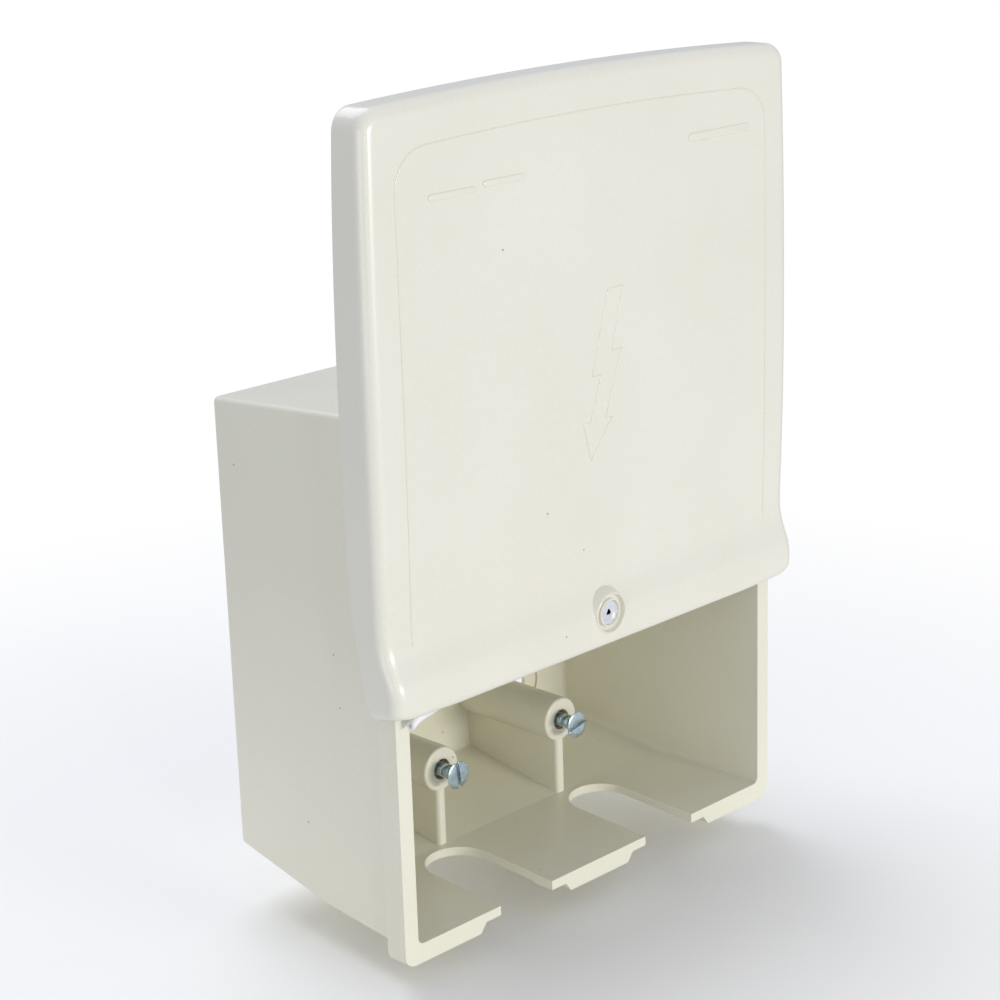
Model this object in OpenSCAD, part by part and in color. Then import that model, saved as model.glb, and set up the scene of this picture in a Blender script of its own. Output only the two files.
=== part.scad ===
// Wall-mounted service box: a deep moulded box with a flanged open front, a sliding cover with a
// key lock at its foot, two open cable entries in the floor and two pillars for M6 screws.
// Modules are written from the front plane of the flange (y = 0, box behind it), the outside of the
// floor (z = 0) and the middle (x = 0). place() then moves them so that the origin is the centre of
// the four wall fixings, on the back face.

/* [Box] */
// Outside width of the box at its open front
box_w = 200; // [150:1:260]
// Outside height of the box at its open front
box_h = 201.5; // [160:0.5:280]
// Depth from the flange face to the wall
box_d = 107.2; // [85:0.1:140]
// Thickness of the side and top walls
wall_t = 2.5; // [1.8:0.1:4]
// Thickness of the floor
floor_t = 3.5; // [2.5:0.1:5]
// Thickness of the back wall
back_t = 2.9; // [2.2:0.1:5]
// How much each side wall leans in by the back
side_draft = 7.6; // [2:0.1:10]
// How much the roof drops by the back
roof_draft = 9.5; // [2:0.1:12]
// Depth at which the floor turns up more steeply
floor_kink_y = 53; // [40:1:65]
// Rise of the floor at that depth
floor_kink_rise = 2; // [0:0.1:4]
// Rise of the floor at the back
floor_rise = 10; // [5:0.1:14]
// Outside corner radius of the box
box_r = 4; // [2:0.5:8]

/* [Flange] */
// How far the flange stands out from the walls
flange_w = 4.1; // [3:0.1:7]
// Depth of the flange from front to back
flange_d = 9.6; // [6:0.1:14]
// Corner radius of the flange
flange_r = 5; // [3:0.5:9]

/* [Cable entries] */
// Width of each cable entry in the floor
entry_w = 28; // [18:0.5:32]
// Distance from the middle to the centre of an entry
entry_x = 41; // [36:0.5:48]
// Depth of an entry from the flange face
entry_d = 50; // [35:0.5:50]
// How much wider than the entry its gap in the flange is, on each side
relief_w = 7.6; // [3:0.1:9]
// How much the ends of that gap slope
relief_slope = 3; // [0:0.1:4]

/* [Pillars and screws] */
// Distance from the middle to a pillar
pillar_x = 34; // [30:0.5:40]
// Height of the pillars' axes
pillar_z = 37.8; // [30:0.1:60]
// Depth of the pillars' front faces
pillar_y = 52; // [51:0.5:60]
// Outside diameter of a pillar
pillar_od = 18.2; // [15:0.1:24]
// Bore of a pillar, which holds its brass insert
pillar_bore = 8.5; // [7.5:0.1:10]
// Depth of that bore
pillar_bore_d = 25; // [20:1:30]
// Thickness of the web under a pillar
web_t = 5; // [3:0.1:7]
// Depth of the insert below the pillar's face
insert_set = 2; // [0.5:0.1:4]
// Length of the insert
insert_l = 12; // [8:0.5:15]
// Thread diameter of the screws
screw_d = 5.9; // [4.9:0.1:6.9]
// Radial running clearance of the screw in its insert
screw_fit = 0.05; // [0.03:0.01:0.1]
// Head diameter of the screws
screw_head_d = 11.3; // [9:0.1:13]
// Length of the screws, head included
screw_l = 25; // [20:0.5:25]
// How far the screw heads stand out from the pillars
screw_out = 9.5; // [4:0.5:14]

/* [Wall fixings] */
// Distance from the middle to a wall fixing
fix_x = 64; // [50:0.5:68]
// Height of the lower wall fixings
fix_low_z = 31.5; // [28:0.5:40]
// Distance between the lower and the upper fixings
fix_pitch_z = 136; // [100:1:150]
// Hole for the wall screw
fix_hole_d = 6.2; // [4.2:0.1:8.2]
// Round recess for the head or washer of the wall screw
fix_recess_d = 20; // [14:0.5:22]
// Depth of that recess
fix_recess_t = 1.1; // [0.5:0.1:1.5]

/* [Cover] */
// Height of the cover above its closed place
cover_raise = 101; // [0:1:190]
// Thickness of the cover
cover_t = 2.8; // [2:0.1:3.4]
// Gap between the cover's front and the flange
cover_gap = 1.2; // [0.6:0.1:2]
// Room between the flange's edge and the cover's side, at the cover's ends
side_room = 3.5; // [2:0.1:6]
// Bow of each side of the cover
side_bow = 2; // [0:0.1:4]
// Bow of the top of the cover
top_bow = 2.4; // [0:0.1:5]
// Gap above the flange when the cover is closed
top_gap = 0.6; // [0.4:0.1:2]
// How far the closed cover reaches below the flange
cover_drop = 2.5; // [1:0.1:6]
// Round at the front edge of the cover
cover_edge_r = 5; // [4:0.5:8]
// Corner radius of the cover's outline
cover_corner_r = 8; // [6:0.5:14]
// How far the lip stands out in front of the cover
lip_out = 4.5; // [4:0.1:6]
// Height over which the lip is full
lip_h = 11.5; // [9:0.5:13]
// Height of the lip and of the slope above it
lip_total_h = 27; // [20:0.5:34]
// Side clearance of the guide rails on the flange
rail_fit = 0.5; // [0.35:0.05:0.8]
// Clearance of the rails behind the flange
hook_fit = 0.4; // [0.35:0.05:0.8]
// Thickness of the rail behind the flange
hook_t = 2.6; // [1.8:0.1:3.4]
// How far the rail reaches in behind the flange
hook_in = 2.5; // [1.5:0.1:3]

/* [Lock] */
// Height of the lock above the foot of the cover
lock_h = 13.1; // [12.5:0.1:15]
// Radius of the lock's boss at its rim
boss_r = 8.1; // [7.6:0.1:9]
// How far the boss stands out in front of the lip
boss_out = 0.4; // [0.2:0.1:1]
// Radius of the round hollow in the boss
cup_r = 7.1; // [6.6:0.1:7.4]
// Depth of that hollow
cup_d = 1.6; // [0.8:0.1:2]
// Radius of the collar round the barrel
collar_r = 5.7; // [5.5:0.1:6]
// Radius of the barrel's head
barrel_head_r = 4.8; // [4.4:0.1:5]
// Radius of the barrel's shank
barrel_r = 4; // [3.6:0.1:4.1]
// Radial running clearance of the barrel
barrel_fit = 0.05; // [0.03:0.01:0.1]
// How far the barrel's face is sunk in the collar
barrel_sunk = 1.2; // [0.8:0.1:1.5]
// Size of the triangular key socket, centre to corner
key_r = 2.4; // [1.6:0.1:3]
// Reach of the cam from the barrel's axis
cam_reach = 8; // [6.5:0.1:8]
// Thickness of the cam
cam_t = 1.4; // [1:0.1:1.6]

/* [Seal] */
// Diameter of the cord seal behind the lip
seal_d = 4; // [3:0.1:4.4]
// How far the loose end of the seal hangs down
seal_droop = 4.5; // [0:0.1:6]
// Length of that loose end
seal_tail = 13; // [8:0.5:20]

/* [Hidden] */
$fn = 64;
eps = 0.01;              // overlap where two shapes join or a cut passes a face
slice_t = 0.05;          // thickness of a slice inside a hull
cut = 1;                 // how far a cutting shape runs past a face
fine = 32;               // facets of the round pieces inside a hull
cream = [0.91, 0.90, 0.85];
zinc = [0.72, 0.76, 0.82];
brass = [0.80, 0.62, 0.33];
rubber = [0.12, 0.12, 0.12];
foam = [0.95, 0.94, 0.93];

flange_half = box_w / 2 + flange_w;
flange_top = box_h + flange_w;
inner_back_y = box_d - back_t;

// Cover, in its closed place until raise() lifts it
cover_half = flange_half + side_room + cover_t;
cover_foot = -flange_w - cover_drop;
cover_top = flange_top + top_gap + cover_t;
cover_front = -cover_gap - cover_t;
cover_back = flange_d + hook_fit + hook_t;
lip_front = cover_front - lip_out;
lip_back = 3;            // the lip's slices end inside the cover's side walls
lip_side = 0.3;          // and their sides lie just inside its outer faces
foot_round = 2;
lock_z = cover_foot + lock_h;
rail_x = flange_half + rail_fit;
hook_x = flange_half - hook_in;

// Lock, from front to back
rim_y = lip_front - boss_out;
cup_y = rim_y + cup_d;
collar_y = rim_y + 0.2;
barrel_y = collar_y + barrel_sunk;
head_t = 1.4;
shank_y = barrel_y + head_t;
cam_gap = 0.4;           // end play between the boss and the cam
cam_y = -3.2;
sleeve_y = cam_y - cam_gap;
stub_r = 2.6;
groove_r = 2;
clip_t = 0.6;
clip_y = cam_y + cam_t + 0.2;
stub_end_y = clip_y + clip_t + 0.2;
oring_r = 0.8;           // depth of the O-ring's groove in the shank
oring_w = 1;

screw_y = pillar_y - screw_out;
head_h = 3.3;
head_rim = 0.5;
slot_w = 1.6;
slot_d = 1.5;
seal_z = cover_foot + seal_d / 2 + 0.6;
seal_y = lip_front + cover_t + seal_d / 2;
seal_half = cover_half - cover_t - 10;

function half_at(y) = box_w / 2 - side_draft * y / box_d;
function roof_at(y) = box_h - roof_draft * y / box_d;
function floor_at(y) = y < floor_kink_y
    ? floor_kink_rise * y / floor_kink_y
    : floor_kink_rise + (floor_rise - floor_kink_rise) * (y - floor_kink_y) / (box_d - floor_kink_y);

// A quarter turn of corner points about [x, z], from angle a
function corner(x, z, r, a) = [for (i = [0:18:90]) [x + r * cos(a + i), z + r * sin(a + i)]];
function round_rect(x0, x1, z0, z1, r) = concat(
    corner(x1 - r, z1 - r, r, 0), corner(x0 + r, z1 - r, r, 90),
    corner(x0 + r, z0 + r, r, 180), corner(x1 - r, z0 + r, r, 270));

module place() translate([0, -box_d, -(fix_low_z + fix_pitch_z / 2)]) children();
module raise() translate([0, 0, cover_raise]) children();
module both_sides() for (s = [-1, 1]) scale([s, 1, 1]) children();

// Turns a flat shape in X and Z into a plate from y0 back to y1
module plate(y0, y1) translate([0, y1, 0]) rotate([90, 0, 0]) linear_extrude(y1 - y0) children();
// A round bar along Y
module bar(x, z, y0, y1, r) plate(y0, y1) translate([x, z]) circle(r);
module ring(x, z, y0, y1, r, hole_r) plate(y0, y1) translate([x, z]) difference() {
    circle(r);
    circle(hole_r);
}

// One slice of the tapered box, with its sides, roof and floor set in
module box_slice(y, side, roof, floor, r) plate(y, y + slice_t)
    polygon(round_rect(-half_at(y) + side, half_at(y) - side, floor_at(y) + floor, roof_at(y) - roof, r));

module box_outside() hull() {
    box_slice(0, 0, 0, 0, box_r);
    box_slice(floor_kink_y, 0, 0, 0, box_r);
    for (a = [0:18:90])
        box_slice(box_d - box_r + box_r * sin(a) - slice_t, box_r * (1 - cos(a)), box_r * (1 - cos(a)),
                  box_r * (1 - cos(a)), box_r);
}

module box_inside() hull() {
    inner_r = box_r - wall_t / 2;
    for (y = [-cut, 0]) translate([0, y, 0]) box_slice(0, wall_t, wall_t, floor_t, inner_r);
    box_slice(floor_kink_y, wall_t, wall_t, floor_t, inner_r);
    for (a = [0:30:90])
        box_slice(inner_back_y - inner_r + inner_r * sin(a) - slice_t, wall_t + inner_r * (1 - cos(a)),
                  wall_t + inner_r * (1 - cos(a)), floor_t + inner_r * (1 - cos(a)), inner_r);
}

module rounded_frame() {
    for (s = [0, 1]) {
        inset = s * flange_r;
        translate([-flange_half + inset, -flange_w + flange_r - inset])
            square([2 * (flange_half - inset), flange_top + flange_w - 2 * (flange_r - inset)]);
    }
    for (x = [-1, 1], z = [-flange_w + flange_r, flange_top - flange_r])
        translate([x * (flange_half - flange_r), z]) circle(flange_r);
}

module cable_entries() both_sides() {
    r = entry_w / 2;
    top_z = floor_t + floor_rise;
    translate([entry_x, entry_d - r, -flange_w - cut]) cylinder(r = r, h = flange_w + top_z + cut);
    translate([entry_x - r, -cut, -flange_w - cut]) cube([entry_w, entry_d - r + cut, flange_w + top_z + cut]);
    half = r + relief_w;
    plate(-cut, flange_d + cut) translate([entry_x, 0])
        polygon([[-half, 0], [half, 0], [half + relief_slope, -flange_w - eps],
                 [half + relief_slope, -flange_w - cut], [-half - relief_slope, -flange_w - cut],
                 [-half - relief_slope, -flange_w - eps]]);
}

module pillars() intersection() {
    both_sides() {
        bar(pillar_x, pillar_z, pillar_y, box_d - eps, pillar_od / 2);
        translate([pillar_x - web_t / 2, pillar_y, 0]) cube([web_t, box_d - pillar_y, pillar_z]);
    }
    box_outside();
}

module wall_fixings() for (x = [-fix_x, fix_x], z = [fix_low_z, fix_low_z + fix_pitch_z]) {
    bar(x, z, inner_back_y - cut, box_d + cut, fix_hole_d / 2);
    bar(x, z, inner_back_y - cut, inner_back_y + fix_recess_t, fix_recess_d / 2);
}

module box_body() color(cream) place() difference() {
    union() {
        difference() {
            union() {
                box_outside();
                plate(0, flange_d) rounded_frame();
            }
            box_inside();
        }
        pillars();
    }
    cable_entries();
    wall_fixings();
    both_sides() bar(pillar_x, pillar_z, pillar_y - cut, pillar_y + pillar_bore_d, pillar_bore / 2);
}

module insert(side) color(brass) place()
    ring(side * pillar_x, pillar_z, pillar_y + insert_set, pillar_y + insert_set + insert_l,
         pillar_bore / 2, screw_d / 2 + screw_fit);

module screw(side, turn) color(zinc) place() translate([side * pillar_x, screw_y, pillar_z]) difference() {
    union() {
        bar(0, 0, 0, head_rim, screw_head_d / 2);
        rotate([-90, 0, 0]) translate([0, 0, head_rim])
            cylinder(r1 = screw_head_d / 2, r2 = screw_d / 2, h = head_h - head_rim);
        bar(0, 0, head_h - eps, screw_l, screw_d / 2);
    }
    rotate([0, turn, 0]) translate([-screw_head_d, -cut, -slot_w / 2])
        cube([2 * screw_head_d, slot_d + cut, slot_w]);
}

// Outline of the cover, with bowed sides and top and a straight foot, set in all round
function bow(t, rise) = rise * (1 - t * t);
function cover_side(t, inset) = cover_half + bow(t, side_bow) - inset;
function cover_points(inset) =
    let (r = max(cover_corner_r - inset, 0.5),
         corner_z = cover_top - inset - r,
         corner_x = cover_side((corner_z - mid_z) / half_h, inset) - r,
         right = concat(
             [for (t = [-1.1:0.2:0.7]) [cover_side(t, inset), mid_z + t * half_h]],
             corner(corner_x, corner_z, r, 0),
             [for (t = [0.8:-0.2:0.2]) [t * cover_half, cover_top - inset + bow(t, top_bow)]]))
    concat(right, [[0, cover_top - inset + top_bow]],
           [for (i = [len(right) - 1:-1:0]) [-right[i][0], right[i][1]]]);
mid_z = (cover_foot + cover_top) / 2;
half_h = (cover_top - cover_foot) / 2;

// The cover's shape as a solid, from y1 forward to y0 with a round front edge
module cover_solid(y0, y1, r, inset) hull() {
    plate(y1 - slice_t, y1) polygon(cover_points(inset));
    for (a = [0:18:90])
        plate(y0 + r * (1 - sin(a)), y0 + r * (1 - sin(a)) + slice_t)
            polygon(cover_points(inset + r * (1 - cos(a))));
}

// A level slice of the lip, z above the foot, with its front at y
module lip_slice(z, y, inset, r) {
    half = cover_side((cover_foot + z - mid_z) / half_h, inset);
    translate([0, 0, cover_foot + z]) linear_extrude(slice_t)
        polygon(concat([[half, lip_back], [-half, lip_back]],
                       corner(-half + r, y + r, r, 180), corner(half - r, y + r, r, 270)));
}

module lip_outside() hull() {
    for (a = [0:30:90]) {
        inset = foot_round * (1 - cos(a));
        lip_slice(foot_round * (1 - sin(a)), lip_front + inset, lip_side + inset, cover_edge_r);
    }
    lip_slice(lip_h, lip_front, lip_side, cover_edge_r);
    lip_slice(lip_total_h, cover_front, lip_side, cover_edge_r);
}

module lip_inside() hull() {
    inner_r = cover_edge_r - cover_t / 2;
    lip_slice(-cut, lip_front + cover_t, cover_t + lip_side, inner_r);
    lip_slice(lip_h - 1, lip_front + cover_t, cover_t + lip_side, inner_r);
    lip_slice(lip_total_h, -cover_gap - eps, cover_t + lip_side, inner_r);
}

// Everything above the foot of the cover
module above_foot() translate([-2 * cover_half, -box_d, cover_foot])
    cube([4 * cover_half, 2 * box_d, 2 * box_h]);

module rails() intersection() {
    both_sides() {
        translate([rail_x, -cover_gap - eps, cover_foot + lip_total_h])
            cube([cover_half, cover_back + cover_gap, cover_top - cover_foot]);
        translate([hook_x, cover_back - hook_t, cover_foot + lip_total_h])
            cube([cover_half, hook_t, flange_top - cover_foot - lip_total_h]);
    }
    cover_solid(cover_front, cover_back, cover_edge_r, cover_t / 2);
}

module cover() color(cream) place() raise() difference() {
    union() {
        intersection() {
            difference() {
                union() {
                    cover_solid(cover_front, cover_back, cover_edge_r, 0);
                    lip_outside();
                }
                cover_solid(-cover_gap, cover_back + cut, cover_edge_r - cover_t, cover_t);
                lip_inside();
            }
            above_foot();
        }
        rails();
        translate([0, rim_y, lock_z]) rotate([-90, 0, 0])
            cylinder(r1 = boss_r, r2 = boss_r + 1, h = sleeve_y - rim_y);
        bar(0, lock_z, rim_y + cup_d, sleeve_y, barrel_head_r + 1.7);
    }
    ring(0, lock_z, rim_y - cut, cup_y, cup_r, collar_r);
    bar(0, lock_z, rim_y - cut, collar_y, cup_r);
    bar(0, lock_z, rim_y - cut, shank_y, barrel_head_r + barrel_fit);
    bar(0, lock_z, rim_y - cut, cut, barrel_r + barrel_fit);
}

module cover_seal() color(foam) place() raise() {
    translate([-seal_half + seal_tail, seal_y, seal_z]) rotate([0, 90, 0])
        cylinder(d = seal_d, h = 2 * seal_half - seal_tail);
    hull() {
        translate([-seal_half + seal_tail, seal_y, seal_z]) sphere(d = seal_d, $fn = fine);
        translate([-seal_half, seal_y, seal_z - seal_droop]) sphere(d = seal_d, $fn = fine);
    }
}

module lock_barrel() color(zinc) place() raise() difference() {
    union() {
        bar(0, lock_z, barrel_y, shank_y, barrel_head_r);
        bar(0, lock_z, shank_y - eps, sleeve_y, barrel_r);
        bar(0, lock_z, sleeve_y - eps, stub_end_y, stub_r);
    }
    plate(barrel_y - cut, barrel_y + 2) translate([0, lock_z]) rotate(90) circle(key_r, $fn = 3);
    ring(0, lock_z, shank_y + 0.4, shank_y + 0.4 + oring_w, barrel_r + cut, barrel_r - oring_r);
    ring(0, lock_z, clip_y, clip_y + clip_t, stub_r + cut, groove_r);
}

module lock_oring() color(rubber) place() raise()
    ring(0, lock_z, shank_y + 0.4, shank_y + 0.4 + oring_w, barrel_r, barrel_r - oring_r);

module lock_cam() color(zinc) place() raise() difference() {
    tip_r = 2.6;
    plate(cam_y, cam_y + cam_t) hull() {
        translate([0, lock_z]) circle(stub_r + 2, $fn = fine);
        translate([cam_reach - tip_r, lock_z]) circle(tip_r, $fn = fine);
    }
    bar(0, lock_z, cam_y - cut, cam_y + cam_t + cut, stub_r);
}

module lock_clip() color(zinc) place() raise() difference() {
    ring(0, lock_z, clip_y, clip_y + clip_t, stub_r + 1.6, groove_r);
    translate([-groove_r * 0.8, clip_y - cut, lock_z - 2 * stub_r]) cube([1.6 * groove_r, 2 * cut + clip_t, 2 * stub_r]);
}

box_body();
insert(-1);  // insert_left
insert(1);  // insert_right
screw(-1, 83);  // screw_left
screw(1, -12);  // screw_right
cover();
cover_seal();
lock_barrel();
lock_oring();
lock_cam();
lock_clip();
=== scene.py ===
# Wall-mounted service box with a sliding cover. Lengths in the dictionaries of the pieces are
# millimetres from the flange face (y), the outside of the floor (z) and the middle (x), and the
# cover, lock and seal are given as they lie when closed. The studio and camera are in metres.
import bpy
import bmesh
import math
from mathutils import Vector, Matrix


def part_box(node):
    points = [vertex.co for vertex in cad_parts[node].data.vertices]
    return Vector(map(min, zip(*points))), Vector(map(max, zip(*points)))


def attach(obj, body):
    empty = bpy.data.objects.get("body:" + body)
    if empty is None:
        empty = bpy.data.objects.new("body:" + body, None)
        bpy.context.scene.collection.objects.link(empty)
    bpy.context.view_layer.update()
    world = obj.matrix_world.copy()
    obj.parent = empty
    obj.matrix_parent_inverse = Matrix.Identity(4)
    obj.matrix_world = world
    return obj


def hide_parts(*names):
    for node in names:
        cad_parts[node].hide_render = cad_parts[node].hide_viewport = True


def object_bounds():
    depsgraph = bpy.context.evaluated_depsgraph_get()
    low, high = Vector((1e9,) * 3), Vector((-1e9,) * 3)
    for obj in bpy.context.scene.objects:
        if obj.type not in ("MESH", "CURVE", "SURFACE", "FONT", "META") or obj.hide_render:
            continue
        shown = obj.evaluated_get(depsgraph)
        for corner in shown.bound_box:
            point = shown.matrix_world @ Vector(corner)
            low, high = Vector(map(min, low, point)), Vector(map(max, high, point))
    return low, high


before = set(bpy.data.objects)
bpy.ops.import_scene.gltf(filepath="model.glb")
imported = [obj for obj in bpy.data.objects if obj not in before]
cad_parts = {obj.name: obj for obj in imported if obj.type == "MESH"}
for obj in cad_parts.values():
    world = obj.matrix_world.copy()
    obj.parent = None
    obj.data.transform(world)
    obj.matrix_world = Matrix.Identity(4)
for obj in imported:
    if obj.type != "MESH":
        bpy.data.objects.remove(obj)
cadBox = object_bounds()
scene = bpy.context.scene

floorRim = 4.1            # the flange reaches this far below the floor
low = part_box("box_body")[0]
originY = low[1]
originZ = low[2] + floorRim / 1000
lift = 101.0              # the cover stands this far above its closed place
past = 2.0                # cutters run on this far past what they cut


def at(x, y, z):
    # a point of the box, in metres in the frame
    return Vector((x / 1000, y / 1000 + originY, z / 1000 + originZ))


def raised(x, y, z):
    return at(x, y, z + lift)


def mix(a, b, t):
    return a + (b - a) * t


def curveThrough(points, t):
    # smooth value through (position, value) pairs
    if t <= points[0][0]:
        return points[0][1]
    if t >= points[-1][0]:
        return points[-1][1]
    i = max(k for k in range(len(points) - 1) if points[k][0] <= t)
    (x0, y0), (x1, y1) = points[i], points[i + 1]

    def slope(k):
        if k == 0 or k == len(points) - 1:
            return 0.0
        return (points[k + 1][1] - points[k - 1][1]) / (points[k + 1][0] - points[k - 1][0])
    h = x1 - x0
    s = (t - x0) / h
    return ((2 * s**3 - 3 * s**2 + 1) * y0 + (s**3 - 2 * s**2 + s) * h * slope(i)
            + (3 * s**2 - 2 * s**3) * y1 + (s**3 - s**2) * h * slope(i + 1))


def meshObject(name, bm):
    mesh = bpy.data.meshes.new(name)
    bm.to_mesh(mesh)
    bm.free()
    piece = bpy.data.objects.new(name, mesh)
    scene.collection.objects.link(piece)
    return piece


def settled(piece):
    # puts the result of the modifiers into the mesh
    deps = bpy.context.evaluated_depsgraph_get()
    mesh = bpy.data.meshes.new_from_object(piece.evaluated_get(deps))
    piece.modifiers.clear()
    piece.data = mesh
    return piece


def combine(piece, other, operation):
    mod = piece.modifiers.new("Combine", "BOOLEAN")
    mod.operation = operation
    mod.solver = "EXACT"
    mod.object = other
    settled(piece)
    bpy.data.objects.remove(other)


def bevelled(piece, width, segments=2, angle=35):
    mod = piece.modifiers.new("Edges", "BEVEL")
    mod.width = width / 1000
    mod.segments = segments
    mod.limit_method = "ANGLE"
    mod.angle_limit = math.radians(angle)
    mod.harden_normals = False
    return settled(piece)


def bridge(bm, rings, closed=True):
    # quads between rings of equal length
    for a, b in zip(rings, rings[1:]):
        n = len(a)
        for i in range(n if closed else n - 1):
            j = (i + 1) % n
            bm.faces.new((a[i], a[j], b[j], b[i]))


def outward(bm):
    bmesh.ops.remove_doubles(bm, verts=bm.verts, dist=1e-7)
    bmesh.ops.recalc_face_normals(bm, faces=bm.faces)


def lathe(name, profile, center, segments=64, place=at):
    # turns (radius, y) pairs about the line through center along Y
    bm = bmesh.new()
    rings = []
    for r, y in profile:
        if r < 1e-6:
            rings.append([bm.verts.new(place(center[0], y, center[1]))])
            continue
        ring = []
        for i in range(segments):
            a = 2 * math.pi * i / segments
            x, z = center[0] + r * math.cos(a), center[1] + r * math.sin(a)
            ring.append(bm.verts.new(place(x, y, z)))
        rings.append(ring)
    for a, b in zip(rings, rings[1:]):
        if len(a) == 1 or len(b) == 1:
            tip, rim = (a[0], b) if len(a) == 1 else (b[0], a)
            for i in range(len(rim)):
                bm.faces.new((tip, rim[i], rim[(i + 1) % len(rim)]))
        else:
            bridge(bm, [a, b])
    outward(bm)
    return meshObject(name, bm)


def prism(name, outline, y0, y1, place=at):
    # a flat outline in x and z, from y0 back to y1
    bm = bmesh.new()
    front = [bm.verts.new(place(x, y0, z)) for x, z in outline]
    back = [bm.verts.new(place(x, y1, z)) for x, z in outline]
    bridge(bm, [front, back])
    bm.faces.new(front)
    bm.faces.new(back)
    outward(bm)
    return meshObject(name, bm)


def column(name, outline, z0, z1):
    # a flat outline in x and y, from z0 up to z1
    bm = bmesh.new()
    bottom = [bm.verts.new(at(x, y, z0)) for x, y in outline]
    top = [bm.verts.new(at(x, y, z1)) for x, y in outline]
    bridge(bm, [bottom, top])
    bm.faces.new(bottom)
    bm.faces.new(top)
    outward(bm)
    return meshObject(name, bm)


def roundRect(x0, x1, z0, z1, r, steps=8):
    points = []
    corners = ((x1 - r, z1 - r, 0), (x0 + r, z1 - r, 90), (x0 + r, z0 + r, 180), (x1 - r, z0 + r, 270))
    for cx, cz, start in corners:
        for i in range(steps + 1):
            a = math.radians(start + 90 * i / steps)
            points.append((cx + r * math.cos(a), cz + r * math.sin(a)))
    return points


def finished(piece, body, material, nodes, smoothAngle=32):
    piece.data.materials.clear()
    piece.data.materials.append(material)
    for face in piece.data.polygons:
        face.use_smooth = True
        face.material_index = 0
    piece.data.set_sharp_from_angle(angle=math.radians(smoothAngle))
    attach(piece, body)
    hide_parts(*nodes)


def nodeTree(name):
    material = bpy.data.materials.new(name)
    material.use_nodes = True
    tree = material.node_tree
    shader = tree.nodes["Principled BSDF"]
    coords = tree.nodes.new("ShaderNodeTexCoord")
    return material, tree, shader, coords


def noise(tree, coords, scale, detail=3, stretch=None, roughness=0.5):
    node = tree.nodes.new("ShaderNodeTexNoise")
    node.inputs["Scale"].default_value = scale
    node.inputs["Detail"].default_value = detail
    node.inputs["Roughness"].default_value = roughness
    source = coords.outputs["Object"]
    if stretch:
        mapping = tree.nodes.new("ShaderNodeMapping")
        mapping.inputs["Scale"].default_value = stretch
        tree.links.new(source, mapping.inputs["Vector"])
        source = mapping.outputs["Vector"]
    tree.links.new(source, node.inputs["Vector"])
    return node.outputs["Fac"]


def ramp(tree, source, stops):
    node = tree.nodes.new("ShaderNodeValToRGB")
    while len(node.color_ramp.elements) < len(stops):
        node.color_ramp.elements.new(0.5)
    for element, (position, color) in zip(node.color_ramp.elements, stops):
        element.position = position
        element.color = color if len(color) == 4 else (*color, 1)
    tree.links.new(source, node.inputs["Fac"])
    return node.outputs["Color"]


def levels(tree, source, toLow, toHigh, fromLow=0.0, fromHigh=1.0):
    node = tree.nodes.new("ShaderNodeMapRange")
    node.inputs["From Min"].default_value = fromLow
    node.inputs["From Max"].default_value = fromHigh
    node.inputs["To Min"].default_value = toLow
    node.inputs["To Max"].default_value = toHigh
    tree.links.new(source, node.inputs["Value"])
    return node.outputs["Result"]


def blendColor(tree, factor, a, b):
    node = tree.nodes.new("ShaderNodeMix")
    node.data_type = "RGBA"
    for socket, value in ((node.inputs[0], factor), (node.inputs[6], a), (node.inputs[7], b)):
        if isinstance(value, (int, float)):
            socket.default_value = value
        elif isinstance(value, tuple):
            socket.default_value = (*value, 1)
        else:
            tree.links.new(value, socket)
    return node.outputs[2]


def product(tree, a, b):
    node = tree.nodes.new("ShaderNodeMath")
    node.operation = "MULTIPLY"
    tree.links.new(a, node.inputs[0])
    tree.links.new(b, node.inputs[1])
    return node.outputs[0]


def addBump(tree, shader, layers):
    # stacks (height, strength, distance) layers into the normal
    normal = None
    for height, strength, distance in layers:
        node = tree.nodes.new("ShaderNodeBump")
        node.inputs["Strength"].default_value = strength
        node.inputs["Distance"].default_value = distance
        tree.links.new(height, node.inputs["Height"])
        if normal:
            tree.links.new(normal, node.inputs["Normal"])
        normal = node.outputs["Normal"]
    tree.links.new(normal, shader.inputs["Normal"])


def mouldedPlastic(name, tone, shade, look):
    # cream moulded plastic: cloudy colour, a few dark specks, faint scuffs, fine mottle and a soft skin
    material, tree, shader, coords = nodeTree(name)
    cloud = noise(tree, coords, look["cloud"], 2)
    color = ramp(tree, cloud, ((0.3, shade), (0.7, tone)))
    specks = tree.nodes.new("ShaderNodeTexVoronoi")
    specks.inputs["Scale"].default_value = look["specks"]
    tree.links.new(coords.outputs["Object"], specks.inputs["Vector"])
    dots = levels(tree, specks.outputs["Distance"], 1, 0, look["speckSize"], look["speckSize"] * 1.8)
    dotted = blendColor(tree, dots, color, look["speckColor"])
    scuff = noise(tree, coords, look["scuff"], 2, (1.0, 1.0, 0.12), 0.4)
    scuffs = levels(tree, scuff, 0, look["scuffAmount"], 0.4, 0.9)
    worn = blendColor(tree, scuffs, dotted, look["scuffColor"])
    mottle = levels(tree, noise(tree, coords, look["mottle"], 2), 0, look["mottleAmount"], 0.3, 0.7)
    worn = blendColor(tree, mottle, worn, look["scuffColor"])
    tree.links.new(worn, shader.inputs["Base Color"])
    rough = levels(tree, noise(tree, coords, look["wear"], 2), *look["rough"], 0.2, 0.8)
    tree.links.new(rough, shader.inputs["Roughness"])
    shader.inputs["IOR"].default_value = 1.5
    shader.inputs["Coat Weight"].default_value = look["coat"]
    shader.inputs["Coat Roughness"].default_value = look["coatRough"]
    addBump(tree, shader, ((noise(tree, coords, look["wave"], 2), look["waveDepth"], 0.002),
                           (noise(tree, coords, look["grain"], 3), look["grainDepth"], 0.0002)))
    return material


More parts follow.
